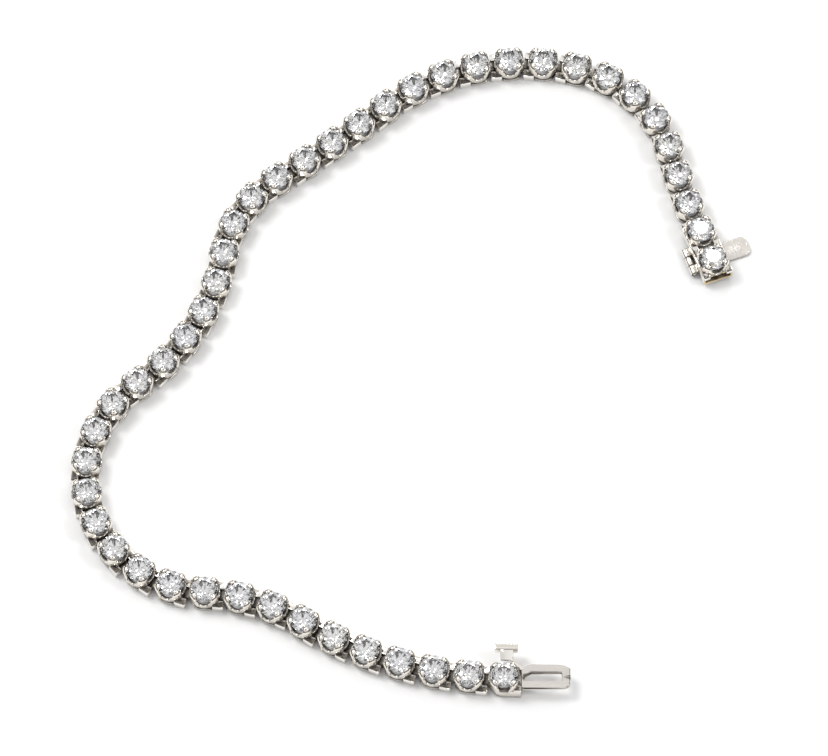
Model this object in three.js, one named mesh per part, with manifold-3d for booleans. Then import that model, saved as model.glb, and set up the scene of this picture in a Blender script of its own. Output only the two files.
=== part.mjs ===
// A tennis bracelet: 45 round brilliants in four-prong white gold links, lying open on a flat surface.
// Millimetres, +Z up, Z = 0 is the surface. Travel along the bracelet runs from the clasp box to the tongue.
import * as THREE from 'three';
import { mergeVertices } from 'three/addons/utils/BufferGeometryUtils.js';
import Module from 'manifold-3d';

const wasm = await Module();
wasm.setup();

// ---- driving dimensions -------------------------------------------------------------------------
const STONES = 45;
const PITCH = 4.0;                 // stone to stone, and hinge to hinge
const LINKS_PER_RUN = 7;           // links joined along their thread in one solid
const GAP = 0.06;                  // clearance between neighbouring pieces
const TOLERANCE = 0.004;           // the finest step kept in a solid

// round brilliant
const GIRDLE_R = 1.55;
const GIRDLE_Z = 2.31;             // lower edge of the girdle above the surface
const GIRDLE_T = 0.08;
const TABLE_R = 0.87;
const CROWN_H = 0.47;
const PAVILION_D = 1.33;
const STAR_R = 1.18;               // where the star facets end
const LOWER_R = 0.36;              // where the lower girdle facets end

// four-prong setting
const CUP_SIDES = 8;
const CUP_BASE_R = 1.42;
const CUP_TOP_R = 1.86;
const BORE_R = 0.8;
const PRONG_TOP_Z = 2.86;
const PRONG_TIP_R = 1.2;
const PRONG_T = 0.3;               // how thick a prong still is at its bent top
const WINDOW_HALF = 0.78;          // half width of the U window between two prongs
const WINDOW_Z = 1.5;              // bottom of the U
const HEAD_LIFT = 0.4;             // how much higher the two stones on the clasp box sit

// link hinge: ears at the end of travel, a tab at the start, a cross pin between them
const HINGE_X = PITCH / 2;
const HINGE_Z = 0.55;
const PIN_R = 0.24;
const EAR_IN = 0.74;
const EAR_OUT = 1.6;
const EAR_START = 0.85;
const EAR_REACH = 0.26;            // how far an ear goes past the pin's axis
const EAR_TOP = 1.1;
const EAR_NOSE_Z = 0.4;            // the height at which an ear reaches furthest
const EAR_CHAMFER = [0.16, 0.22];  // along travel, at an ear's foot and at its top
const TAB_HALF = 0.5;
const TAB_REACH = 0.34;
const TAB_START = 1.1;             // where the tab leaves the cup
const TAB_Z = [0.1, 1.05];

// clasp box, measured from the middle between its two stones
const BOX_HALF = 1.8;
const BOX_OPEN_X = -3.9;
const BOX_BACK_X = 3.35;
const BOX_Z = [0.46, 1.6];
const SLOT_Z = [0.66, 1.36];
const SLOT_HALF = 1.52;
const SLOT_END_X = 2.9;
const MOUTH_SLANT = 0.34;          // how far the mouth's top edge is set back from its bottom edge

// safety flap and its three-knuckle hinge
const KNUCKLE_R = 0.44;
const KNUCKLE_L = 1.1;
const KNUCKLE_MID_X = -0.55;
const KNUCKLE_Y = BOX_HALF + KNUCKLE_R + GAP;
const KNUCKLE_Z = 0.55;
const WEB_T = 0.4;                 // the webs between the box and the outer knuckles
const HINGE_PIN_R = 0.2;
const FLAP_T = 0.38;
const FLAP_HALF = 1.25;
const FLAP_NECK_Y = BOX_HALF - 0.1;
const FLAP_SHOULDER_Y = BOX_HALF - 0.4;
const FLAP_TAB_Y = -5.0;
const FLAP_CORNER = 0.7;           // how much the thumb tab's corners are rounded off

// end link and tongue, measured from the last stone
const SKIRT_X = 1.95;
const SKIRT_HALF = 1.7;
const SKIRT_TOP = 1.5;
const FLOOR_T = 0.35;              // thickness of the closed base
const LUG_HALF = 0.9;              // the lower leaf's lug, which sits in the skirt's end wall
const LUG_REACH = 0.55;
const LEAF_T = 0.27;
const LEAF_LOW_Z = 1.05;           // underside of the lower leaf at its root
const LEAF_ROOT_Z = 1.85;          // underside of the sprung upper leaf at its root
const FOLD_R = 0.31;               // outside radius of the fold
const FOLD_Z = 1.84;               // the fold's axis
const TONGUE_X = 7.5;              // outside of the fold
const TONGUE_Y = [-1.3, 1.5];      // near side and far side
const TONGUE_NECK = 0.36;          // how much narrower the far side is at the root
const TONGUE_NECK_X = [0.3, 1.0];  // where the far side flares, from the root
const TONGUE_TIP = 0.5;            // how much each corner of the tip is cut off
const TONGUE_SLOT_Y = [-0.55, 0.6];
const TONGUE_SLOT_END = 1.0;       // from the slot's end to the outside of the fold
const TONGUE_SLOT_CORNER = 0.25;
const STEM_X = [-0.52, 1.0];
const STEM_R = [2.05, 2.42];       // the stem's arc behind the setting
const STEM_ARC = [22, 62, 102];    // degrees: its root, and the right and left sides of the straight part
const THUMB_X = [-1.1, 1.55];
const THUMB_Y = [3.1, 3.9];
const THUMB_Z = [1.5, 2.55];
const THUMB_NOTCHES = 6;
const THUMB_NOTCH = 0.1;

// the plan: each row turns the next links evenly; a positive turn is to the left of travel
const START_HEADING = 110;
const ROUTE = [
  { links: 3, turn: -6 },          // straight away from the clasp
  { links: 4, turn: 62 },          // round the upper right
  { links: 6, turn: 54 },          // over the top
  { links: 4, turn: -5 },          // straight run down to the left
  { links: 3, turn: 47 },
  { links: 5, turn: -44 },
  { links: 9, turn: 138 },         // round the lower left
  { links: 3, turn: -29 },
  { links: 6, turn: 32 },          // along to the tongue
];

// ---- materials ----------------------------------------------------------------------------------
const whiteGold = () => new THREE.MeshStandardMaterial({ color: 0xdcd6cc, roughness: 0.16, metalness: 1 });
const diamond = () => new THREE.MeshStandardMaterial({ color: 0xf2f3f7, roughness: 0.02, metalness: 0 });

// ---- solids -------------------------------------------------------------------------------------
/** A closed geometry as a manifold solid. */
function solid(geometry) {
  const g = geometry.index ? geometry.clone() : geometry;
  g.deleteAttribute('normal');
  g.deleteAttribute('uv');
  const merged = mergeVertices(g, 1e-5);
  return new wasm.Manifold(new wasm.Mesh({
    numProp: 3,
    vertProperties: new Float32Array(merged.attributes.position.array),
    triVerts: new Uint32Array(merged.index.array),
  }));
}

/** A manifold solid as a three.js geometry, without slivers thinner than TOLERANCE. */
function geometryOf(manifold) {
  const mesh = manifold.simplify(TOLERANCE).getMesh();
  const g = new THREE.BufferGeometry();
  g.setAttribute('position', new THREE.BufferAttribute(new Float32Array(mesh.vertProperties), 3));
  g.setIndex(new THREE.BufferAttribute(new Uint32Array(mesh.triVerts), 1));
  g.computeVertexNormals();
  return g;
}

const join = (...solids) => solids.reduce((a, b) => a.add(b));

function block([x0, x1], [y0, y1], [z0, z1]) {
  const g = new THREE.BoxGeometry(x1 - x0, y1 - y0, z1 - z0);
  return solid(g.translate((x0 + x1) / 2, (y0 + y1) / 2, (z0 + z1) / 2));
}

const outline = (points) => new THREE.Shape(points.map(([x, y]) => new THREE.Vector2(x, y)));

/** A plan outline [x, y] with optional holes, raised from z0 to z1. */
function slab(shape, [z0, z1]) {
  const g = new THREE.ExtrudeGeometry(shape, { depth: z1 - z0, bevelEnabled: false });
  return solid(g.translate(0, 0, z0));
}

/** A side outline [x, z] carried across from y0 to y1. */
function prism(points, [y0, y1]) {
  const g = new THREE.ExtrudeGeometry(outline(points), { depth: y1 - y0, bevelEnabled: false });
  return solid(g.rotateX(Math.PI / 2).translate(0, y1, 0));
}

/** A round rod along Y ('y') or along X ('x'), centred on the other two coordinates. */
function rod(along, radius, [from, to], [a, z], sides) {
  const g = new THREE.CylinderGeometry(radius, radius, to - from, sides);
  if (along === 'x') return solid(g.rotateZ(Math.PI / 2).translate((from + to) / 2, a, z));
  return solid(g.translate(a, (from + to) / 2, z));
}

/** A closed [radius, z] profile turned about Z, with flats facing the axes and the diagonals. */
function turned(profile, sides = CUP_SIDES) {
  const scale = 1 / Math.cos(Math.PI / sides);
  const ring = [...profile, profile[0]].map(([r, z]) => new THREE.Vector2(r * scale, z));
  return solid(new THREE.LatheGeometry(ring, sides, Math.PI / sides).rotateX(Math.PI / 2));
}

// ---- round brilliant ----------------------------------------------------------------------------
/** 57 facets and a girdle: table, stars, bezels, upper and lower girdle facets, pavilion mains. */
function brilliant() {
  const position = [];
  const index = [];
  const HALF = Math.PI / 8;
  const girdleTop = GIRDLE_Z + GIRDLE_T;
  const tableZ = girdleTop + CROWN_H;
  const culetZ = GIRDLE_Z - PAVILION_D;
  const bezelSlope = CROWN_H / (GIRDLE_R - TABLE_R);
  const mainSlope = PAVILION_D / GIRDLE_R;
  const starZ = tableZ - bezelSlope * (STAR_R * Math.cos(HALF) - TABLE_R);
  const lowerZ = culetZ + mainSlope * LOWER_R * Math.cos(HALF);
  const ring = (count, radius, z, phase) => {
    const first = position.length / 3;
    for (let k = 0; k < count; k++) {
      const a = phase + (k * 2 * Math.PI) / count;
      position.push(radius * Math.cos(a), radius * Math.sin(a), z);
    }
    return (k) => first + ((k + count) % count);
  };
  const table = ring(8, TABLE_R, tableZ, 0);
  const star = ring(8, STAR_R, starZ, HALF);
  const upper = ring(16, GIRDLE_R, girdleTop, 0);
  const lower = ring(16, GIRDLE_R, GIRDLE_Z, 0);
  const low = ring(8, LOWER_R, lowerZ, HALF);
  const culet = ring(1, 0, culetZ, 0);
  for (let k = 1; k < 7; k++) index.push(table(0), table(k), table(k + 1));
  for (let k = 0; k < 8; k++) {
    index.push(table(k), star(k), table(k + 1));
    index.push(table(k), star(k - 1), upper(2 * k), table(k), upper(2 * k), star(k));
    index.push(star(k), upper(2 * k), upper(2 * k + 1), star(k), upper(2 * k + 1), upper(2 * k + 2));
    index.push(low(k), lower(2 * k + 1), lower(2 * k), low(k), lower(2 * k + 2), lower(2 * k + 1));
    index.push(culet(0), low(k), lower(2 * k), culet(0), lower(2 * k), low(k - 1));
  }
  for (let k = 0; k < 16; k++) {
    index.push(upper(k), lower(k), lower(k + 1), upper(k), lower(k + 1), upper(k + 1));
  }
  const g = new THREE.BufferGeometry();
  g.setAttribute('position', new THREE.Float32BufferAttribute(position, 3));
  g.setIndex(index);
  return g;
}

// ---- four-prong setting -------------------------------------------------------------------------
/** The cup from baseZ up, its bore, and four prongs bent over the crown; windows from windowZ up. */
function setting(baseZ, windowZ, boreR, lift = 0) {
  const wallR = (z) => CUP_BASE_R + ((CUP_TOP_R - CUP_BASE_R) * z) / GIRDLE_Z;
  const seatR = GIRDLE_R + GAP;
  const cup = turned([
    [boreR, baseZ],
    [wallR(baseZ - lift), baseZ],
    [CUP_TOP_R, GIRDLE_Z + lift],
    [PRONG_TIP_R + PRONG_T, PRONG_TOP_Z + lift],
    [PRONG_TIP_R, PRONG_TOP_Z + lift],
    [seatR, GIRDLE_Z + GIRDLE_T + lift],
  ]);
  const w = WINDOW_HALF;
  const top = PRONG_TOP_Z + lift + GAP;
  const u = [[-w, top], [-w / 2, windowZ], [w / 2, windowZ], [w, top]];
  const across = prism(u, [-PITCH / 2, PITCH / 2]);
  return cup.subtract(across).subtract(across.rotate([0, 0, 90]));
}

/** The two hinge ears and the cross pin, about the hinge at hingeX. */
function ears(hingeX, startX) {
  const end = hingeX + EAR_REACH;
  const [foot, head] = EAR_CHAMFER;
  const side = [
    [startX, 0], [end - foot, 0], [end, EAR_NOSE_Z], [end - head, EAR_TOP], [startX, EAR_TOP],
  ];
  const middle = (EAR_IN + EAR_OUT) / 2;
  const pin = rod('y', PIN_R, [-middle, middle], [hingeX, HINGE_Z], 6);
  return join(prism(side, [EAR_IN, EAR_OUT]), prism(side, [-EAR_OUT, -EAR_IN]), pin);
}

/** The hinge tab at the start of travel. Where two runs meet it is bored for its neighbour's pin. */
function tab(bored) {
  const nose = -HINGE_X - TAB_REACH;
  const [low, high] = TAB_Z;
  const side = [
    [nose + GAP, low], [-TAB_START, low], [-TAB_START, high], [nose + 2 * GAP, high], [nose, HINGE_Z],
  ];
  const strip = prism(side, [-TAB_HALF, TAB_HALF]);
  if (!bored) return strip;
  return strip.subtract(rod('y', PIN_R + GAP, [-EAR_IN, EAR_IN], [-HINGE_X, HINGE_Z], 6));
}

const link = (bored) => join(setting(0, WINDOW_Z, BORE_R), ears(HINGE_X, EAR_START), tab(bored));

// ---- clasp --------------------------------------------------------------------------------------
/** A round well of the bore's size, straight down from z1 to z0. */
const well = ([z0, z1]) => rod('y', BORE_R, [z0, z1], [0, 0], 8).rotate([90, 0, 0]);

/** A knuckle of the flap's hinge about the middle x, with the bore for its pin. */
function knuckle(x) {
  const span = [x - KNUCKLE_L / 2, x + KNUCKLE_L / 2];
  const bore = rod('x', HINGE_PIN_R + GAP, [span[0] - GAP, span[1] + GAP], [KNUCKLE_Y, KNUCKLE_Z], 10);
  return { span, body: rod('x', KNUCKLE_R, span, [KNUCKLE_Y, KNUCKLE_Z], 12), bore };
}

/** A flat box with a slot in one end, two settings on top, hinge ears, and the flap's outer knuckles. */
function claspBox() {
  const stones = [-HINGE_X, HINGE_X];
  const heads = stones.map((x) =>
    setting(SLOT_Z[1], WINDOW_Z + HEAD_LIFT, BORE_R, HEAD_LIFT).translate([x, 0, 0]));
  const wells = stones.map((x) => well([SLOT_Z[0], BOX_Z[1] + GAP]).translate([x, 0, 0]));
  const tray = prism([
    [BOX_OPEN_X, BOX_Z[0]], [BOX_BACK_X, BOX_Z[0]],
    [BOX_BACK_X, BOX_Z[1]], [BOX_OPEN_X + MOUTH_SLANT, BOX_Z[1]],
  ], [-BOX_HALF, BOX_HALF]);
  const slot = block([BOX_OPEN_X - GAP, SLOT_END_X], [-SLOT_HALF, SLOT_HALF], SLOT_Z);
  const knuckles = [-1, 1].map((side) => {
    const { span, body, bore } = knuckle(KNUCKLE_MID_X + side * (KNUCKLE_L + GAP));
    const web = block(span, [FLAP_NECK_Y, KNUCKLE_Y], [KNUCKLE_Z, KNUCKLE_Z + WEB_T]);
    return join(body, web).subtract(bore);
  });
  const hollow = join(tray, ears(2 * HINGE_X, SLOT_END_X)).subtract(slot);
  return join(wells.reduce((a, b) => a.subtract(b), hollow), ...heads, ...knuckles);
}

/** The plate under the box: a neck to the middle knuckle on the left, a thumb tab out on the right. */
function claspFlap() {
  const mid = KNUCKLE_MID_X;
  const half = KNUCKLE_L / 2;
  const c = FLAP_CORNER;
  const rounding = [[0, c], [0.3 * c, 0.3 * c], [c, 0]];
  const end = rounding.map(([x, y]) => [mid - FLAP_HALF + x, FLAP_TAB_Y + y]);
  const mirrored = end.map(([x, y]) => [2 * mid - x, y]).reverse();
  const plate = outline([
    [mid - half, KNUCKLE_Y], [mid - half, FLAP_NECK_Y], [mid - FLAP_HALF, FLAP_SHOULDER_Y],
    ...end, ...mirrored,
    [mid + FLAP_HALF, FLAP_SHOULDER_Y], [mid + half, FLAP_NECK_Y], [mid + half, KNUCKLE_Y],
  ]);
  const { body, bore } = knuckle(mid);
  return join(slab(plate, [0, FLAP_T]), body).subtract(bore);
}

function hingePin() {
  const reach = 1.5 * KNUCKLE_L + GAP;
  return rod('x', HINGE_PIN_R, [KNUCKLE_MID_X - reach, KNUCKLE_MID_X + reach], [KNUCKLE_Y, KNUCKLE_Z], 10);
}

// ---- end link and tongue ------------------------------------------------------------------------
/** The last setting on a solid square skirt, with a pocket in its end wall for the lower leaf. */
function endLink() {
  const skirt = block([0, SKIRT_X], [-SKIRT_HALF, SKIRT_HALF], [0, SKIRT_TOP]);
  const floor = turned([[0, 0], [CUP_BASE_R, 0], [CUP_BASE_R, FLOOR_T], [0, FLOOR_T]]);
  const pocket = block(
    [SKIRT_X - LUG_REACH, SKIRT_X + GAP], [-LUG_HALF - GAP, LUG_HALF + GAP],
    [LEAF_LOW_Z - GAP, LEAF_LOW_Z + LEAF_T + GAP]);
  const cup = join(setting(0, WINDOW_Z, BORE_R), skirt.subtract(well([FLOOR_T, SKIRT_TOP + GAP])));
  return join(cup, floor, tab(true)).subtract(pocket);
}

/** Points on an arc in a plane, from one angle to another in degrees. */
function arc([cx, cy], radius, [from, to], steps) {
  return Array.from({ length: steps + 1 }, (_, k) => {
    const a = THREE.MathUtils.degToRad(from + ((to - from) * k) / steps);
    return [cx + radius * Math.cos(a), cy + radius * Math.sin(a)];
  });
}

/** The T-shaped thumb piece: a stem that goes round behind the setting, and a notched bar. */
function thumbPiece() {
  const [root, right, left] = STEM_ARC;
  const stem = slab(outline([
    ...arc([0, 0], STEM_R[1], [root, right], 4),
    [STEM_X[1], THUMB_Y[0] + GAP], [STEM_X[0], THUMB_Y[0] + GAP],
    ...arc([0, 0], STEM_R[0], [left, root], 6),
  ]), [LEAF_ROOT_Z + TOLERANCE, LEAF_ROOT_Z + LEAF_T]);
  const bar = block(THUMB_X, THUMB_Y, THUMB_Z);
  const step = (THUMB_X[1] - THUMB_X[0]) / THUMB_NOTCHES;
  const y = THUMB_Y[1];
  const notches = Array.from({ length: THUMB_NOTCHES }, (_, k) => {
    const x = THUMB_X[0] + (k + 0.5) * step;
    const n = THUMB_NOTCH;
    const v = outline([[x - n, y + n / 2], [x, y - n], [x + n, y + n / 2]]);
    return slab(v, [THUMB_Z[0] - GAP, THUMB_Z[1] + GAP]);
  });
  return join(stem, notches.reduce((a, b) => a.subtract(b), bar));
}

/** A strip folded on itself at the tip, slotted down its middle, with the thumb piece soldered on. */
function tongue() {
  const root = SKIRT_X + GAP;
  const foldX = TONGUE_X - FOLD_R;
  const side = [
    [root, LEAF_LOW_Z], ...arc([foldX, FOLD_Z], FOLD_R, [-90, 90], 4), [root, LEAF_ROOT_Z + LEAF_T],
    [root, LEAF_ROOT_Z], ...arc([foldX, FOLD_Z], FOLD_R - LEAF_T, [90, -90], 4), [root, LEAF_LOW_Z + LEAF_T],
  ];
  const [near, far] = TONGUE_Y;
  const [n0, n1] = TONGUE_NECK_X;
  const c = TONGUE_TIP;
  const plan = outline([
    [root - GAP, near], [TONGUE_X - c, near], [TONGUE_X + GAP, near + c],
    [TONGUE_X + GAP, far - c], [TONGUE_X - 2 * c, far],
    [root + n1, far], [root + n0, far - TONGUE_NECK], [root - GAP, far - TONGUE_NECK],
  ]);
  const [low, high] = TONGUE_SLOT_Y;
  const start = root + 2 * GAP;
  const end = TONGUE_X - TONGUE_SLOT_END;
  const r = TONGUE_SLOT_CORNER;
  plan.holes.push(new THREE.Path([
    [start, low], [start, high - TONGUE_NECK], [root + n1, high],
    [end - r, high], [end, high - r], [end, low + r], [end - r, low],
  ].map(([x, y]) => new THREE.Vector2(x, y))));
  const leaves = prism(side, [2 * near, 2 * far]).intersect(slab(plan, [0, 2 * FOLD_Z]));
  const lugX = [root - LUG_REACH, root + LEAF_T];
  const lug = block(lugX, [-LUG_HALF, LUG_HALF], [LEAF_LOW_Z, LEAF_LOW_Z + LEAF_T]);
  return join(leaves, lug, thumbPiece());
}

// ---- the route ----------------------------------------------------------------------------------
/** Each stone's place {x, y, heading}; a link lies straight between its own two hinges. */
function places() {
  const headings = [START_HEADING, START_HEADING];
  for (const { links, turn } of ROUTE) {
    for (let k = 0; k < links; k++) headings.push(headings.at(-1) + turn / links);
  }
  const out = [];
  let x = 0;
  let y = 0;
  headings.forEach((heading, k) => {
    const a = THREE.MathUtils.degToRad(heading);
    if (k > 0) {
      const b = THREE.MathUtils.degToRad(headings[k - 1]);
      x += (PITCH / 2) * (Math.cos(a) + Math.cos(b));
      y += (PITCH / 2) * (Math.sin(a) + Math.sin(b));
    }
    out.push({ x, y, heading });
  });
  return out;
}

const place = places();

/** A group standing at one stone's place, +X along travel; shift moves it along travel. */
function frameAt(index, shift = 0) {
  const { x, y, heading } = place[index];
  const a = THREE.MathUtils.degToRad(heading);
  const group = new THREE.Group();
  group.position.set(x + shift * Math.cos(a), y + shift * Math.sin(a), 0);
  group.rotation.z = a;
  return group;
}

function piece(name, geometry, material) {
  const mesh = new THREE.Mesh(geometry, material);
  mesh.name = name;
  return mesh;
}

const number = (k) => String(k).padStart(2, '0');

// ---- assembly -----------------------------------------------------------------------------------
const bracelet = new THREE.Group();
const route = new THREE.Group();
bracelet.add(route);

const stoneGeometry = brilliant();
for (let k = 0; k < STONES; k++) {
  const frame = frameAt(k);
  const stone = piece(`stone_${number(k + 1)}`, stoneGeometry, diamond());
  stone.position.z = k < 2 ? HEAD_LIFT : 0;
  frame.add(stone);
  route.add(frame);
}

const plainLink = link(false);
const firstLink = link(true);
for (let first = 2; first < STONES - 1; first += LINKS_PER_RUN) {
  const last = first + LINKS_PER_RUN - 1;
  const placed = [];
  for (let k = first; k <= last; k++) {
    const { x, y, heading } = place[k];
    placed.push((k === first ? firstLink : plainLink).rotate([0, 0, heading]).translate([x, y, 0]));
  }
  const name = `links_${number(first + 1)}_${number(last + 1)}`;
  route.add(piece(name, geometryOf(join(...placed)), whiteGold()));
}

const clasp = frameAt(0, PITCH / 2);
clasp.add(piece('clasp_box', geometryOf(claspBox()), whiteGold()));
clasp.add(piece('clasp_flap', geometryOf(claspFlap()), whiteGold()));
clasp.add(piece('clasp_hinge_pin', geometryOf(hingePin()), whiteGold()));
route.add(clasp);

const tail = frameAt(STONES - 1);
tail.add(piece('end_link', geometryOf(endLink()), whiteGold()));
tail.add(piece('tongue', geometryOf(tongue()), whiteGold()));
route.add(tail);

bracelet.updateMatrixWorld(true);
const size = new THREE.Box3().setFromObject(bracelet, true);
const centre = size.getCenter(new THREE.Vector3());
route.position.set(-centre.x, -centre.y, -size.min.z);
bracelet.updateMatrixWorld(true);

export default bracelet;
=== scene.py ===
"""A tennis bracelet: round brilliants in four-prong white gold links, a box clasp and a folded tongue.

Every shape is worked out in millimetres in its link's own frame, +X along travel from the clasp box to
the tongue, +Y to the left of travel and Z = 0 on the floor, and is then placed where the frame has that
link's stone.
"""

import bpy
import numpy as np
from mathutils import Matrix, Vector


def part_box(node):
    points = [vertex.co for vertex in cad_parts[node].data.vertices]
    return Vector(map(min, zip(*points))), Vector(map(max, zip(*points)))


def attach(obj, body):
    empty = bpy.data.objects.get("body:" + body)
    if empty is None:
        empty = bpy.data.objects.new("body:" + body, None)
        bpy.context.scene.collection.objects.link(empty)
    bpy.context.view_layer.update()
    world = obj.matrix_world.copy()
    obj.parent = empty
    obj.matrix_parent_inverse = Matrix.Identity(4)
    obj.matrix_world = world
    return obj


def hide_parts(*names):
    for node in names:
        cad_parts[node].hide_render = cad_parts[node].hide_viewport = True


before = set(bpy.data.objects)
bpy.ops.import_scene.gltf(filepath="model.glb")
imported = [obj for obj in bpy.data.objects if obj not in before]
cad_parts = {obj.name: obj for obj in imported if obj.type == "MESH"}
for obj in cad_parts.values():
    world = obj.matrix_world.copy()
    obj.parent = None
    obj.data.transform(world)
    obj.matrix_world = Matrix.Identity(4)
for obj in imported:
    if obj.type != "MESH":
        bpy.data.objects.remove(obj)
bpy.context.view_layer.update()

MM = 0.001
PI = np.pi

# ---- driving sizes, as in the frame -------------------------------------------------------------
STONES = 45
PITCH = 4.0
LINKS_PER_RUN = 7
GAP = 0.06                      # clearance between neighbouring pieces
HEAD_LIFT = 0.4                 # the two heads on the clasp box sit this much higher
GIRDLE_Z = 2.31                 # lower edge of a stone's girdle

# cup
CUP_FOOT_R = 1.6
CUP_TOP_R = 1.84
CUP_FOOT_Z = 0.58
WALL_T = 0.28
BELLY = 0.05                    # how much the wall swells between foot and top
WINDOW_SPAN = np.radians(25)    # half the angle that a window takes of its quarter
WINDOW_LOW = 1.5
WINDOW_HIGH = 2.36

# prongs
PRONG_FOOT = 0.25               # how far above the cup's foot they start
PRONG_TOP_Z = 2.32              # where the straight part ends
PRONG_SUNK = 0.12               # how deep their path lies inside the wall
BEND_R = 0.44
BEND_FROM = (1.73, 2.34)        # radius and height at which the bend over the crown starts
BEAD_L = 0.2                    # length of the rounded tip
PRONG_W = ((0, 4, 8, 11, 15), (0.66, 0.6, 0.5, 0.38, 0.3))    # half width at steps along the path
PRONG_T = ((0, 4, 9, 15), (0.13, 0.17, 0.2, 0.17))            # half thickness in the same way

# gallery rail, sleeve, ears, tab and pin
RAIL_HALF = (1.5, 1.6)
RAIL_W = 0.42
RAIL_Z = (0.0, 0.3)
RAIL_POWER = 3.2                # 2 would be an ellipse, more is squarer
SLEEVE_R = (1.11, 1.36)
SLEEVE_Z = (0.3, 0.75)
HINGE_X = PITCH / 2
HINGE_Z = 0.55
PIN_R = 0.24
EAR_X = (0.9, 2.24)
EAR_Y = (0.74, 1.62)
EAR_Z = (0.0, 1.06)
CUT_PIT = 0.2                   # how far the facets of a bright-cut block fall
TAB_HALF = 0.5
TAB_X = (-1.15, -HINGE_X - 0.36)
TAB_Z = (0.1, 1.02)

# clasp box and safety flap, from the middle between stones 1 and 2
BOX_X = (-3.9, 3.35)
BOX_HALF = 1.8
BOX_Z = (0.46, 1.58)
SLOT_Z = (0.66, 1.36)
MOUTH_SLANT = 0.34             # how far the mouth's top edge is set back from its bottom edge
SLOT_HALF = 1.52
SLOT_END_X = 2.9
KNUCKLE_R = 0.44
KNUCKLE_L = 1.1
KNUCKLE_MID_X = -0.55
KNUCKLE_Y = BOX_HALF + KNUCKLE_R + GAP
KNUCKLE_Z = 0.55
FLAP_PIN_R = 0.2
FLAP_T = 0.36
FLAP_HALF = 1.25
FLAP_TAB_Y = -5.0
FLAP_CORNER = 0.72
FLAP_BEND = 0.16                # how far the thumb tab's end is bent up
FLAP_POLISHED = 0.62            # how much of that end is polished
CORNER_Y = 0.95                 # the inner side of the bright-cut corner blocks
CORNERS = (                     # middle, half length, from the middle between stones 1 and 2
    (0.0, 0.62),
    (BOX_X[0] + 0.42, 0.4),
    (BOX_X[1] - 0.3, 0.3),
)

# end link and tongue, from the last stone
SKIRT_X = 1.95
SKIRT_HALF = 1.7
SKIRT_TOP = 1.5
WELL_R = 1.3
WELL_FLOOR_Z = 0.35
LEAF_T = 0.26
LEAF_LOW_Z = 1.05
LEAF_ROOT_Z = 1.85
TONGUE_ROOT = SKIRT_X + GAP
TONGUE_X = 7.5
TONGUE_Y = (-1.3, 1.5)
TONGUE_SLOT_Y = (-0.55, 0.6)
DRAWN_IN = (0.4, 0.55)          # how far the near and the far edge come in towards the fold
DRAWN_L = (0.75, 1.4)           # and over how long a stretch
ROOT_STEP = (0.36, 0.3)         # how much narrower the far side is at the root, edge and slot
FOLD_R = 0.31
FOLD_Z = 1.84                   # the fold's axis; the tongue rises a little towards it
THUMB_X = (-1.1, 1.55)
THUMB_Y = (3.1, 3.9)
THUMB_Z = (1.5, 2.55)
TEETH = 7
TOOTH = 0.09
STEM_R = (2.05, 2.42)           # the stem's arc behind the setting
STEM_TURN = (22, 60, 102)       # degrees: where both arcs start, the outer ends and the inner ends
STEM_X = (-0.52, 1.0)
STEM_RISE = 0.3

POLISHED, CUT, SATIN, MOUTH = range(4)   # the finishes' material slots
SHARP = 35                      # degrees from which an edge is not smoothed


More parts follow.
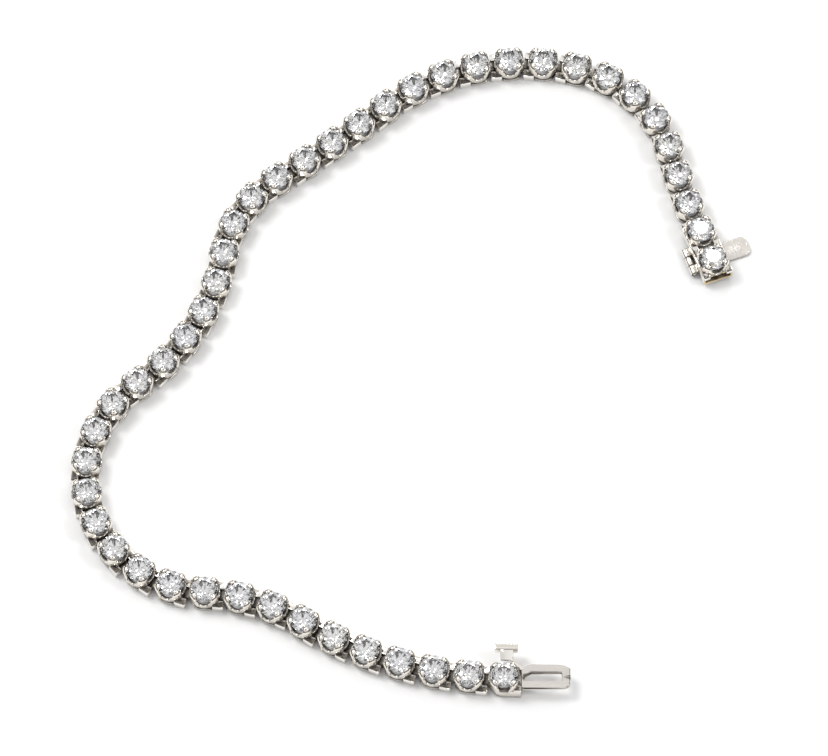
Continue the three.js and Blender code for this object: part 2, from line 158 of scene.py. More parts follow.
# ---- surfaces -----------------------------------------------------------------------------------
class Shell:
    """Closed surfaces in millimetres that make up one piece, each with a finish and a painted-shade value
    per point, which darkens the colour where shade falls.
    """

    def __init__(self):
        self.points, self.quads, self.tris = [], [], []
        self.finish_q, self.finish_t, self.painted_shade = [], [], []
        self.count = 0

    def grid(self, p, close_rows=False, caps=(True, True), finish=POLISHED, painted_shade=0.0):
        """A surface from p[row, column]; columns always close on themselves. Rows close on themselves
        too, or end in a fan round the middle of the first and the last row, where caps asks for it. The
        finish is one slot or a column with a slot for each strip between two rows. The faces are turned
        over if the volume that they hold, a sixth of the sum of a.(b x c), comes out negative."""
        rows, cols = p.shape[:2]
        n = rows * cols
        i = np.arange(rows if close_rows else rows - 1)[:, None]
        j = np.arange(cols)[None, :]
        down, right = (i + 1) % rows, (j + 1) % cols
        quads = np.stack(
            np.broadcast_arrays(i * cols + j, i * cols + right, down * cols + right, down * cols + j), -1
        ).reshape(-1, 4)
        points = [p.reshape(-1, 3)]
        tris = []
        if not close_rows:
            ring = np.arange(cols)
            turn = (ring + 1) % cols
            middle = np.stack([p[0].mean(0), p[-1].mean(0)])
            points.append(middle)
            first = np.stack([np.full(cols, n), turn, ring], -1)
            last = np.stack([np.full(cols, n + 1), n - cols + ring, n - cols + turn], -1)
            tris = [t for t, wanted in zip((first, last), caps) if wanted]
        points = np.concatenate(points)
        tris = np.concatenate(tris) if tris else np.zeros((0, 3), int)
        fan = np.concatenate([quads[:, [0, 1, 2]], quads[:, [0, 2, 3]], tris])
        a, b, c = (points[fan[:, k]] for k in range(3))
        if np.einsum("ij,ij->i", a, np.cross(b, c)).sum() < 0:
            quads, tris = quads[:, ::-1], tris[:, ::-1]
        self.quads.append(quads + self.count)
        self.tris.append(tris + self.count)
        self.finish_q.append(np.broadcast_to(finish, (len(i), cols)).ravel())
        self.finish_t.append(np.full(len(tris), self.finish_q[-1][-1]))
        self.painted_shade.append(np.broadcast_to(painted_shade, p.shape[:2]).ravel())
        if not close_rows:
            self.painted_shade.append(np.broadcast_to(np.asarray(painted_shade).mean(), 2))
        self.points.append(points)
        self.count += len(points)
        return self

    def add_shifted(self, other, dx):
        """Adds another shell's surfaces, moved along X."""
        self.quads += [a + self.count for a in other.quads]
        self.tris += [a + self.count for a in other.tris]
        self.points += [p + [dx, 0, 0] for p in other.points]
        self.finish_q += other.finish_q
        self.finish_t += other.finish_t
        self.painted_shade += other.painted_shade
        self.count += other.count

    def piece(self, name, heading, place, materials):
        """One object at the origin, its points turned by heading and moved to place, in metres."""
        p = np.concatenate(self.points) * MM
        own = p.astype(np.float32).ravel()
        c, s = np.cos(heading), np.sin(heading)
        x, y, z = p.T
        p = np.stack([x * c - y * s + place[0], x * s + y * c + place[1], z], -1)
        quads, tris = np.concatenate(self.quads), np.concatenate(self.tris)
        mesh = bpy.data.meshes.new(name)
        mesh.vertices.add(len(p))
        mesh.vertices.foreach_set("co", p.astype(np.float32).ravel())
        corners = np.concatenate([quads.ravel(), tris.ravel()]).astype(np.int32)
        mesh.loops.add(len(corners))
        mesh.loops.foreach_set("vertex_index", corners)
        sizes = np.concatenate([np.full(len(quads), 4), np.full(len(tris), 3)])
        mesh.polygons.add(len(sizes))
        mesh.polygons.foreach_set("loop_start", (np.cumsum(sizes) - sizes).astype(np.int32))
        mesh.polygons.foreach_set("use_smooth", np.ones(len(sizes), bool))
        finish = np.concatenate(self.finish_q + self.finish_t).astype(np.int32)
        mesh.polygons.foreach_set("material_index", finish)
        mesh.update(calc_edges=True)
        mesh.set_sharp_from_angle(angle=np.radians(SHARP))
        # Per-point painted shade: how far the colour is darkened towards the recess colour.
        painted_shade = mesh.attributes.new("painted_shade", "FLOAT", "POINT")
        painted_shade.data.foreach_set("value", np.concatenate(self.painted_shade).astype(np.float32))
        mesh.attributes.new("own_place", "FLOAT_VECTOR", "POINT").data.foreach_set("vector", own)
        for material in materials:
            mesh.materials.append(material)
        obj = bpy.data.objects.new(name, mesh)
        bpy.context.collection.objects.link(obj)
        return obj


def rounded_rectangle(width, height, radius, steps=4):
    """A loop of points round a rectangle about the origin whose corners are quarter circles."""
    a = (np.arange(4)[:, None] * PI / 2 + np.linspace(0, PI / 2, steps)[None, :]).ravel()
    corner = np.repeat(np.array([[1, 1], [-1, 1], [-1, -1], [1, -1]]), steps, axis=0)
    middle = corner * (np.array([width, height]) / 2 - radius)
    return middle + radius * np.stack([np.cos(a), np.sin(a)], -1)


def edge_rows(low, high, radius, steps=4):
    """Heights from low to high and how far each row is set in, so that both ends have round edges."""
    a = np.linspace(0, PI / 2, steps)
    inset = radius * (1 - np.sin(a))
    z = np.concatenate([low + radius * (1 - np.cos(a)), high - radius * (1 - np.cos(a))[::-1]])
    return z, np.concatenate([inset, inset[::-1]])


def layered(loops, heights):
    """Plan loops [row, point, xy] with a height for each row as their third coordinate."""
    heights = np.asarray(heights)[:, None, None]
    return np.concatenate([loops, np.repeat(heights, loops.shape[1], 1)], -1)


def block(shell, x, y, z, radius, painted_shade=0.0):
    """A box from x[0] to x[1] and so on with every edge rounded: rounded rectangles in plan, stacked,
    each set in by what a quarter circle takes at its height."""
    heights, inset = edge_rows(z[0], z[1], radius)
    size = np.array([x[1] - x[0], y[1] - y[0]])
    middle = [(x[0] + x[1]) / 2, (y[0] + y[1]) / 2]
    loops = [rounded_rectangle(*(size - 2 * d), max(2 * radius - d, 0.01)) + middle for d in inset]
    return shell.grid(layered(np.stack(loops), heights), painted_shade=painted_shade)


def carried(path, across, up, section):
    """A section's (a, b) points carried along a path: path + a * across + b * up at each step."""
    return path[:, None] + section[..., :1] * across[:, None] + section[..., 1:] * up[:, None]


def rod(shell, axis, ends, side, z, radius, dome, sides, painted_shade=0.0):
    """A round rod with rounded ends along X (axis 0) or Y (axis 1), its middle at side on the other of
    the two and at z: a circle carried along the axis, set in towards each end."""
    along, inset = edge_rows(*ends, dome)
    a = np.linspace(0, 2 * PI, sides, endpoint=False)
    r = (radius - inset)[:, None]
    level = [np.repeat(along[:, None], sides, 1), side + r * np.cos(a)]
    return shell.grid(np.stack([level[axis], level[1 - axis], z + r * np.sin(a)], -1), painted_shade=painted_shade)


# ---- four-prong setting -------------------------------------------------------------------------
def wall_radius(z, lift, foot_r):
    """The cup's outside at a height: straight from foot to top, with a slight belly."""
    t = np.clip((z - lift - CUP_FOOT_Z) / (GIRDLE_Z - CUP_FOOT_Z), 0, 1)
    return foot_r + (CUP_TOP_R - foot_r) * t + BELLY * np.sin(PI * t)


def cup(shell, lift, foot_z, foot_r):
    """The cup wall. Its lower edge is a circle; its upper edge is, in each quarter, half a superellipse
    hanging between two prongs. The wall is ruled between the two, and its section goes up the outside,
    over a rounded rim and down the inside."""
    turn = np.linspace(0, PI, 27)
    across = -np.sign(np.cos(turn)) * np.abs(np.cos(turn)) ** (2 / 2.3) * WINDOW_SPAN
    drop = np.sin(turn)
    high, low = WINDOW_HIGH + lift, WINDOW_LOW + lift
    top_a = np.concatenate([across, [PI / 4]])
    top_z = np.concatenate([high - (high - low) * drop, [high]])
    foot_a = np.linspace(-PI / 4, PI / 4, len(top_a) + 1)[1:]
    quarter = np.arange(4)[:, None] * PI / 2
    top_a, foot_a = (quarter + top_a).ravel(), (quarter + foot_a).ravel()
    top_z = np.tile(top_z, 4)
    rise = np.array([0.0, 0.0, 0.04, 0.25, 0.5, 0.75, 0.95, 1.0, 1.0, 0.95, 0.75, 0.5, 0.25, 0.04])
    depth = np.array([0.8, 0.2, 0.0, 0.0, 0.0, 0.0, 0.0, 0.25, 0.75, 1.0, 1.0, 1.0, 1.0, 1.0])
    t = rise[:, None]
    angle = foot_a + (top_a - foot_a) * t
    z = foot_z + (top_z - foot_z) * t
    r = wall_radius(z, lift, foot_r) - WALL_T * depth[:, None]
    p = np.stack([r * np.cos(angle), r * np.sin(angle), z], -1)
    # Painted shade on the inside of the wall and round its foot.
    inside = np.clip(depth[:, None] - 0.4, 0, 0.6) / 0.6
    foot = np.clip(1 - t * 9, 0, 1)
    return shell.grid(p, close_rows=True, painted_shade=np.clip(inside + 0.9 * foot + 0 * z, 0, 1))


def prongs(shell, lift, foot_z, foot_r):
    """Four prongs on the diagonals. Each is an oval section carried up inside the wall and over the
    crown: the path follows the wall, then turns inwards, and the section shrinks to a round bead."""
    stem = np.linspace(foot_z, PRONG_TOP_Z, 8)
    bend = np.radians(np.linspace(8, 70, 8))
    tip = np.radians(np.array([25, 50, 70, 84]))
    bend_r, bend_z = BEND_FROM
    r = np.concatenate([wall_radius(stem, 0, foot_r) - PRONG_SUNK, bend_r - BEND_R * (1 - np.cos(bend))])
    z = np.concatenate([stem, bend_z + BEND_R * np.sin(bend)]) + lift
    r = np.concatenate([r, r[-1] - np.sin(bend[-1]) * BEAD_L * np.sin(tip)])
    z = np.concatenate([z, z[-1] + np.cos(bend[-1]) * BEAD_L * np.sin(tip)])
    n = len(r)
    shrink = np.concatenate([np.ones(n - 4), np.cos(tip)])
    half_w = np.interp(np.arange(n), *PRONG_W) * shrink
    half_t = np.interp(np.arange(n), *PRONG_T) * shrink
    lean = np.stack([np.gradient(r), np.gradient(z)], -1)
    lean /= np.linalg.norm(lean, axis=1, keepdims=True)
    a = np.linspace(0, 2 * PI, 16, endpoint=False)
    oval = np.sign([np.cos(a), np.sin(a)]) * np.abs([np.cos(a), np.sin(a)]) ** 0.8
    section = np.stack([half_w[:, None] * oval[0], half_t[:, None] * oval[1]], -1)
    up = np.array([0, 0, 1])
    for k in range(4):
        q = PI / 4 + k * PI / 2
        out = np.array([np.cos(q), np.sin(q), 0])
        side = np.array([-np.sin(q), np.cos(q), 0])
        path = r[:, None] * out + z[:, None] * up
        normal = lean[:, 1:] * out - lean[:, :1] * up
        shell.grid(carried(path, np.broadcast_to(side, path.shape), normal, section))


def sleeve(shell):
    """The recessed inner wall below the cup: a straight ring almost fully painted with shade, which shows
    as the dark line under it.
    """
    a = np.linspace(0, 2 * PI, 48, endpoint=False)
    (inner, outer), (low, high) = SLEEVE_R, SLEEVE_Z
    r = np.array([outer, outer, inner, inner])[:, None]
    z = np.array([low, high, high, low])[:, None]
    p = np.stack([r * np.cos(a), r * np.sin(a), z + 0 * a], -1)
    return shell.grid(p, close_rows=True, painted_shade=0.95)


def rail(shell):
    """The gallery rail: a rounded bar carried round a superellipse |x/a|^n + |y/b|^n = 1. Painted shade
    lies on its inner side and its top."""
    a = np.linspace(0, 2 * PI, 72, endpoint=False)
    c, s = np.cos(a), np.sin(a)
    power = 2 / RAIL_POWER
    plan = np.stack([np.sign(c) * np.abs(c) ** power, np.sign(s) * np.abs(s) ** power, 0 * a], -1)
    ahead = np.roll(plan, -1, 0) - np.roll(plan, 1, 0)
    across = np.stack([ahead[:, 1], -ahead[:, 0], 0 * a], -1)
    across /= np.linalg.norm(across, axis=1, keepdims=True)
    thick = RAIL_Z[1] - RAIL_Z[0]
    reach = [RAIL_HALF[0] - RAIL_W / 2, RAIL_HALF[1] - RAIL_W / 2, 0]
    path = plan * reach + [0, 0, sum(RAIL_Z) / 2]
    section = rounded_rectangle(RAIL_W, thick, 0.12)
    up = np.broadcast_to([0.0, 0, 1], path.shape)
    top = np.clip(section[:, 1] / thick - 0.3, 0, 0.2) / 0.2
    inner = np.clip(-section[:, 0] / RAIL_W + 0.1, 0, 0.6) / 0.6
    painted_shade = np.clip(0.55 * top + 0.9 * inner, 0, 1)
    section = np.broadcast_to(section, (len(path), *section.shape))
    painted_shade = np.broadcast_to(painted_shade, section.shape[:2])
    return shell.grid(carried(path, across, up, section), close_rows=True, painted_shade=painted_shade)


def cut_block(shell, x, y, z, side):
    """An ear or corner block with a bright cut: rounded rectangles stacked for plain sides and a narrow
    rim, then facets that fall to a smaller middle nearer the cup, and a hole in that, darkened with
    painted shade, as is the block's foot."""
    size = np.array([x[1] - x[0], y[1] - y[0]])
    middle = np.array([(x[0] + x[1]) / 2, (y[0] + y[1]) / 2])
    towards_cup = size * [-0.12, -0.12 * side]
    outside = (  # set in, corner radius, height, painted shade
        (0.1, 0.06, z[0], 0.3),
        (0.03, 0.13, z[0] + 0.05, 0.15),
        (0.0, 0.16, z[0] + 0.14, 0.0),
        (0.0, 0.16, z[1] - 0.06, 0.0),
        (0.04, 0.1, z[1], 0.0),
        (0.08, 0.03, z[1] - 0.01, 0.0),
    )
    inside = (  # scale, depth, painted shade
        (0.52, CUT_PIT, 0.05),
        (0.36, CUT_PIT + 0.02, 0.9),
        (0.3, CUT_PIT + 0.2, 1.0),
    )
    loops = [rounded_rectangle(*(size - 2 * row[0]), row[1], 3) for row in outside]
    floor = loops[-1]
    loops = [loop + middle for loop in loops] + [floor * row[0] + middle + towards_cup for row in inside]
    heights = [row[2] for row in outside] + [z[1] - row[1] for row in inside]
    painted_shade = np.array([row[3] for row in outside] + [row[2] for row in inside])
    painted_shade = np.repeat(painted_shade[:, None], len(loops[0]), 1)
    return shell.grid(layered(np.stack(loops), heights), finish=CUT, painted_shade=painted_shade)


def hinge_side(x, z, round_x):
    """A side outline of a hinge leaf: flat back at x[0], a half circle round the pin at round_x."""
    a = np.linspace(-PI / 2, PI / 2, 7)
    mid, half = (z[0] + z[1]) / 2, (z[1] - z[0]) / 2
    nose = np.stack([round_x + (x[1] - round_x) * np.cos(a), mid + half * np.sin(a)], -1)
    return np.concatenate([[[x[0], z[0]]], nose, [[x[0], z[1]]]])


def leaf_across(shell, side, y, bevel, painted_shade):
    """A side outline [x, z] carried across in Y, drawn in a little at both faces for a bevelled edge."""
    along, inset = edge_rows(y[0], y[1], bevel, 3)
    middle = (side.min(0) + side.max(0)) / 2
    half = (side.max(0) - side.min(0)) / 2
    scale = 1 - inset[:, None] / half
    flat = middle + (side - middle)[None] * scale[:, None, :]
    p = np.stack([flat[..., 0], np.repeat(along[:, None], len(side), 1), flat[..., 1]], -1)
    return shell.grid(p, painted_shade=painted_shade)


def both_sides(inner, outer):
    """Right (-1) and left (1), each with the (low, high) range that is inner to outer from the middle."""
    return ((-1, (-outer, -inner)), (1, (inner, outer)))


def ears(shell, hinge_x=HINGE_X, start=EAR_X[0]):
    """Two ears with bright-cut tops, and the cross pin between them."""
    end = hinge_x + EAR_X[1] - HINGE_X
    for side, y in both_sides(*EAR_Y):
        cut_block(shell, (start, end), y, EAR_Z, side)
    reach = EAR_Y[0] + 0.1
    # The pin is painted with shade (0.9), as it lies between the ears.
    rod(shell, 1, (-reach, reach), hinge_x, HINGE_Z, PIN_R, 0.05, 24, painted_shade=0.9)


def tab(shell):
    """The hinge tab at the start of travel: flat on top, rounded about the pin of the link before."""
    side = hinge_side(TAB_X, TAB_Z, -HINGE_X + 0.1)
    # The 0.7 is painted shade, where the tab lies between the ears of the link before.
    leaf_across(shell, side, (-TAB_HALF, TAB_HALF), 0.07, 0.7)


def setting(shell, lift=0.0, foot_z=CUP_FOOT_Z, foot_r=CUP_FOOT_R):
    """A cup from foot_z up and its four prongs; lift raises the cup's rim and the prongs."""
    cup(shell, lift, foot_z, foot_r)
    prongs(shell, lift, foot_z + PRONG_FOOT, foot_r)


def link_shell():
    """A plain link: rail, recessed sleeve, cup, prongs, ears and tab."""
    shell = Shell()
    rail(shell)
    sleeve(shell)
    setting(shell)
    ears(shell)
    tab(shell)
    return shell


# ---- clasp --------------------------------------------------------------------------------------
def tray(shell):
    """The box: a rounded rectangle carried along X outside, over a narrow rim at the open end, and back
    inside to the end of the slot. Its inside and rim have the yellow of worn plating."""
    outer = rounded_rectangle(2 * BOX_HALF, BOX_Z[1] - BOX_Z[0], 0.16, 5)
    inner = rounded_rectangle(2 * SLOT_HALF, SLOT_Z[1] - SLOT_Z[0], 0.05, 5)
    z_out, z_in = sum(BOX_Z) / 2, sum(SLOT_Z) / 2
    mouth, back = BOX_X
    x = np.array([back, back - 0.05, mouth + 0.05, mouth, mouth, mouth + 0.04, mouth + 0.2, SLOT_END_X])
    shape = [outer * 0.97, outer, outer, outer * [0.985, 0.96], inner * [1.02, 1.06], inner, inner, inner]
    section = np.stack(shape)
    section[..., 1] += np.repeat([z_out, z_in], 4)[:, None]
    p = np.concatenate([np.repeat(x[:, None, None], section.shape[1], 1), section], -1)
    p[2:7, :, 0] += MOUTH_SLANT * (p[2:7, :, 2] - BOX_Z[0]) / (BOX_Z[1] - BOX_Z[0])
    shell.grid(p[:4], caps=(True, False))
    # Painted shade that deepens from the mouth's rim into the slot.
    painted_shade = np.repeat(np.array([0.0, 0.25, 0.75, 1.0, 1.0])[:, None], section.shape[1], 1)
    shell.grid(p[3:], caps=(False, True), finish=MOUTH, painted_shade=painted_shade)


def knuckle(shell, middle):
    """A round knuckle about the flap's pin, darkened with painted shade towards both ends."""
    painted_shade = np.array([1.0, 0.8, 0.2, 0.0, 0.0, 0.2, 0.8, 1.0])[:, None]
    ends = (middle - KNUCKLE_L / 2, middle + KNUCKLE_L / 2)
    rod(shell, 0, ends, KNUCKLE_Y, KNUCKLE_Z, KNUCKLE_R, 0.09, 36, painted_shade=painted_shade)


def clasp_box_shell():
    """The tray, two lifted heads, bright-cut corners between and beside them, ears and two knuckles."""
    shell = Shell()
    tray(shell)
    head = Shell()
    setting(head, HEAD_LIFT, SLOT_Z[1] - 0.02)
    shell.add_shifted(head, -HINGE_X)
    shell.add_shifted(head, HINGE_X)
    for x, half in CORNERS:
        for side, y in both_sides(CORNER_Y, BOX_HALF - 0.02):
            cut_block(shell, (x - half, x + half), y, (BOX_Z[1] - 0.3, BOX_Z[1] + 0.2), side)
    ears(shell, 2 * HINGE_X, BOX_X[1] - 0.4)
    for side in (-1, 1):
        middle = KNUCKLE_MID_X + side * (KNUCKLE_L + GAP)
        knuckle(shell, middle)
        web_x = (middle - KNUCKLE_L / 2 + 0.04, middle + KNUCKLE_L / 2 - 0.04)
        web_z = (KNUCKLE_Z, KNUCKLE_Z + 0.92 * KNUCKLE_R)
        # Light painted shade (0.4) on the webs between the knuckles and the box.
        block(shell, web_x, (BOX_HALF - 0.15, KNUCKLE_Y - 0.05), web_z, 0.05, painted_shade=0.4)
    return shell


def flap_shell():
    """The safety flap: a plate whose half width and middle change across the bracelet, from the knuckle's
    neck to the rounded thumb tab, which is bent up a little at its end."""
    shell = Shell()
    knuckle(shell, KNUCKLE_MID_X)
    neck_y, shoulder_y, corner_y = 1.72, 1.66, FLAP_TAB_Y + 0.75
    y = np.concatenate([[KNUCKLE_Y, neck_y], np.linspace(shoulder_y, corner_y, 14)])
    half = np.where(y > shoulder_y, KNUCKLE_L / 2 - 0.02, FLAP_HALF)
    a = np.radians(np.linspace(12, 86, 7))
    y = np.concatenate([y, corner_y - FLAP_CORNER * np.sin(a)])
    half = np.concatenate([half, FLAP_HALF - FLAP_CORNER * (1 - np.cos(a))])
    lift = FLAP_BEND * np.clip((-y - 3.9) / 1.1, 0, 1) ** 1.5
    path = np.stack([np.full(len(y), KNUCKLE_MID_X), y, FLAP_T / 2 + lift], -1)
    unit = rounded_rectangle(1, 1, 0.0001, 5)
    edge = rounded_rectangle(2, FLAP_T, 0.1, 5)
    section = np.repeat(edge[None], len(y), 0)
    section[..., 0] += np.sign(unit[:, 0]) * (half[:, None] - 1)
    section[[0, -1]] *= [1, 0.7]
    across = np.broadcast_to([1.0, 0, 0], path.shape)
    up = np.broadcast_to([0.0, 0, 1], path.shape)
    finish = np.where(y[1:] < FLAP_TAB_Y + FLAP_POLISHED, POLISHED, SATIN)[:, None]
    shell.grid(carried(path, across, up, section), finish=finish)
    return shell


def pin_shell():
    """The pin through the three knuckles, whose round heads stand out a little at both ends."""
    reach = 1.5 * KNUCKLE_L + GAP + 0.05
    ends = (KNUCKLE_MID_X - reach, KNUCKLE_MID_X + reach)
    return rod(Shell(), 0, ends, KNUCKLE_Y, KNUCKLE_Z, FLAP_PIN_R, 0.1, 28)


# ---- end link and tongue ------------------------------------------------------------------------
def end_skirt(shell):
    """The end link's skirt: in plan a half circle on the side of travel's start and square towards the
    tongue, stacked with rounded lower and upper edges, and a round well for the stone's point. The
    well's points lie in the same directions from the axis as the rim's."""
    corner = 0.12
    a = np.linspace(PI / 2, 3 * PI / 2, 33)
    back = SKIRT_HALF * np.stack([np.cos(a), np.sin(a)], -1)
    b = np.linspace(0, PI / 2, 5)
    nose = np.array([SKIRT_X - corner, SKIRT_HALF - corner])
    right = nose * [1, -1] + corner * np.stack([np.sin(b), -np.cos(b)], -1)
    left = nose + corner * np.stack([np.cos(b), np.sin(b)], -1)
    rim = np.concatenate([back, right, left])
    heights, inset = edge_rows(0.0, SKIRT_TOP, 0.08)
    loops = rim[None] * (1 - inset[:, None, None] / SKIRT_HALF)
    well = WELL_R * rim / np.linalg.norm(rim, axis=1, keepdims=True)
    loops = np.concatenate([loops, well[None], well[None]])
    heights = np.concatenate([heights, [SKIRT_TOP - 0.02, WELL_FLOOR_Z]])
    # Painted shade in the well, from its rim down to its floor.
    painted_shade = np.clip(np.arange(len(heights)) - len(heights) + 3, 0, 1)[:, None]
    shell.grid(layered(loops, heights), painted_shade=np.repeat(painted_shade, len(rim), 1))


def end_link_shell():
    """The last setting, standing on its skirt, with two bright-cut corners towards the tongue."""
    shell = Shell()
    setting(shell, foot_z=0.3, foot_r=SKIRT_HALF)
    end_skirt(shell)
    tab(shell)
    for side, y in both_sides(CORNER_Y, SKIRT_HALF - 0.03):
        cut_block(shell, (1.05, SKIRT_X - 0.03), y, (SKIRT_TOP - 0.2, SKIRT_TOP + 0.2), side)
    return shell


def leaf(shell, root_z, fold_side):
    """One leaf of the tongue as a slotted strip: rings between the slot's outline and the strip's, over
    the top, round the edge and back underneath. Past the fold's start it bends about the fold's axis, so
    that a distance s beyond it becomes an angle s / r, to half way round. The strip's half width falls
    as an arc of a circle towards the fold, and the far side leaves a narrower root on a smooth step."""
    root = TONGUE_ROOT
    fold_x = TONGUE_X - FOLD_R
    mid_r = FOLD_R - LEAF_T / 2
    reach = fold_x + mid_r * PI / 2 + 0.03
    a = np.linspace(0, 2 * PI, 160, endpoint=False)
    c, s = np.cos(a), np.sin(a)

    def outline(x0, x1, y, power):
        """A superellipse that fills the rectangle x0..x1, y[0]..y[1], with points closer towards its
        ends; at an angle its radius is (|cos|^n + |sin|^n)^(-1/n)."""
        r = (np.abs(c) ** power + np.abs(s) ** power) ** (-1 / power)
        along = np.sign(c) * (1 - (1 - np.clip(np.abs(r * c), 0, 1)) ** 1.7)
        unit = np.stack([along, r * s], -1)
        return unit * [(x1 - x0) / 2, (y[1] - y[0]) / 2] + [(x0 + x1) / 2, (y[0] + y[1]) / 2]

    def smooth(t):
        t = np.clip(t, 0, 1)
        return t * t * (3 - 2 * t)

    outer = outline(root, reach, TONGUE_Y, 30.0)
    slot = outline(root + 0.08, TONGUE_X - 1.0, TONGUE_SLOT_Y, 7.0)
    far = outer[:, 1] > 0
    drawn_in = np.array(DRAWN_IN)[far.astype(int)]
    length = np.array(DRAWN_L)[far.astype(int)]
    past_fold = outer[:, 0] - fold_x
    past_fold = np.where(past_fold > 0, mid_r * np.sin(past_fold / mid_r), past_fold)
    tip = np.clip((past_fold - mid_r + length) / length, 0, 0.97)
    outer[:, 1] -= np.sign(outer[:, 1]) * drawn_in * (1 - np.sqrt(1 - tip**2))
    outer[:, 1] -= ROOT_STEP[0] * smooth((root + 0.95 - outer[:, 0]) / 0.8) * far
    slot[:, 1] -= ROOT_STEP[1] * smooth((root + 1.15 - slot[:, 0]) / 0.8) * (slot[:, 1] > 0)
    mix = np.array([0.0, 0.05, 0.35, 0.68, 0.74, 0.8, 0.86, 0.92, 0.96, 1.0])
    height = np.array([0.3, 0.5, 0.5, 0.5, 0.5, 0.5, 0.5, 0.5, 0.5, 0.3]) * LEAF_T
    mix = np.concatenate([mix, mix[::-1]])[:, None, None]
    height = np.concatenate([height, -height[::-1]])
    plan = slot + (outer - slot) * mix
    x, y = plan[..., 0], plan[..., 1]
    off = height[:, None] * fold_side
    z_flat = FOLD_Z + fold_side * mid_r
    lean = np.clip((fold_x - x) / (fold_x - root), 0, 1)
    angle = np.clip(x - fold_x, 0, None) / mid_r
    arm = mid_r + height[:, None]
    bent = x > fold_x
    straight_z = z_flat + off + (root_z - z_flat) * lean
    px = np.where(bent, fold_x + arm * np.sin(angle), x)
    pz = np.where(bent, FOLD_Z + fold_side * arm * np.cos(angle), straight_z)
    return shell.grid(np.stack([px, y, pz], -1), close_rows=True, finish=SATIN)


def tongue_shell():
    """Two leaves folded at the tip, the lug of the lower one, and the T-shaped thumb piece."""
    shell = Shell()
    leaf(shell, LEAF_ROOT_Z + LEAF_T / 2, 1)
    leaf(shell, LEAF_LOW_Z + LEAF_T / 2, -1)
    lug_x = (TONGUE_ROOT - 0.5, TONGUE_ROOT + 0.4)
    lug_z = (LEAF_LOW_Z + 0.01, LEAF_LOW_Z + LEAF_T - 0.01)
    block(shell, lug_x, (-0.85, 0.85), lug_z, 0.05)
    stem(shell)
    thumb_bar(shell)
    return shell


def stem(shell):
    """The thumb piece's stem: from the root of the upper leaf it goes round behind the setting between
    two arcs about the stone's axis, and then out to the bar. Its plan outline is stacked in thin layers,
    drawn in at the top and bottom, and it rises evenly towards the bar."""
    bar_y = THUMB_Y[0] + 0.15
    start, outer_end, inner_end = STEM_TURN
    a = np.radians(np.linspace(start, outer_end, 9))
    b = np.radians(np.linspace(inner_end, start, 17))
    outer = STEM_R[1] * np.stack([np.cos(a), np.sin(a)], -1)
    inner = STEM_R[0] * np.stack([np.cos(b), np.sin(b)], -1)
    y = np.linspace(2.4, bar_y, 5)
    right = np.stack([np.full(5, STEM_X[1]), y], -1)
    left = np.stack([np.full(5, STEM_X[0]), y[::-1]], -1)
    rim = np.concatenate([outer, right, left, inner])
    heights, inset = edge_rows(LEAF_ROOT_Z + 0.02, LEAF_ROOT_Z + LEAF_T + 0.03, 0.06, 3)
    middle = rim.mean(0)
    loops = middle + (rim - middle)[None] * (1 - 0.5 * inset[:, None, None])
    rise = STEM_RISE * np.clip((loops[..., 1] - 2.2) / 0.9, 0, 1)
    layers = heights[:, None, None] + rise[..., None]
    shell.grid(np.concatenate([loops, layers], -1), finish=CUT)


def thumb_bar(shell):
    """The bar of the T: rounded sections in Y and Z carried along X, whose outer face is pushed in by a
    cosine of the distance along it, which gives the gripping teeth."""
    x = np.linspace(THUMB_X[0], THUMB_X[1], 8 * TEETH + 1)
    size = (THUMB_Y[1] - THUMB_Y[0], THUMB_Z[1] - THUMB_Z[0])
    section = np.repeat(rounded_rectangle(size[0], size[1], 0.12, 5)[None], len(x), 0)
    wave = 0.5 + 0.5 * np.cos(2 * PI * TEETH * (x - THUMB_X[0]) / (THUMB_X[1] - THUMB_X[0]))
    outer = np.clip(section[0, :, 0] / (size[0] / 2), 0, 1) ** 2
    section[..., 0] -= TOOTH * wave[:, None] * outer
    ends = np.clip(np.minimum(x - x[0], x[-1] - x) / 0.1, 0.0, 1)
    section *= (0.86 + 0.14 * np.sqrt(1 - (1 - ends) ** 2))[:, None, None]
    path = np.stack([x, np.full(len(x), sum(THUMB_Y) / 2), np.full(len(x), sum(THUMB_Z) / 2)], -1)
    across = np.broadcast_to([0.0, 1, 0], path.shape)
    up = np.broadcast_to([0.0, 0, 1], path.shape)
    return shell.grid(carried(path, across, up, section))


# ---- finishes -----------------------------------------------------------------------------------
WHITE_GOLD = (0.9, 0.855, 0.785)
# the colour of the painted shade in recesses and between parts
SHADE_COLOUR = (0.05, 0.036, 0.024)
NOOK_REACH = 0.001              # metres within which another surface makes a nook, which gets painted shade
BLOTCH = {"Scale": 1400.0, "Detail": 3.0, "Roughness": 0.6}
UNEVEN = {"Scale": 1100.0, "Detail": 1.0}
BUMP_HEIGHT = 0.00002
DIAMOND_INDEX = 2.417


def new_group(name, inputs, outputs):
    """An empty node group with its sockets, and its input and output nodes."""
    group = bpy.data.node_groups.new(name, "ShaderNodeTree")
    for label, kind, value in inputs:
        socket = group.interface.new_socket(label, in_out="INPUT", socket_type=kind)
        socket.default_value = value
    for label, kind in outputs:
        group.interface.new_socket(label, in_out="OUTPUT", socket_type=kind)
    return group, group.nodes.new("NodeGroupInput"), group.nodes.new("NodeGroupOutput")


def add(nodes, kind, **settings):
    """A node with its properties set by name and its input sockets set from a dict called sockets."""
    sockets = settings.pop("sockets", {})
    node = nodes.new(kind)
    for key, value in settings.items():
        setattr(node, key, value)
    for key, value in sockets.items():
        node.inputs[key].default_value = value
    return node


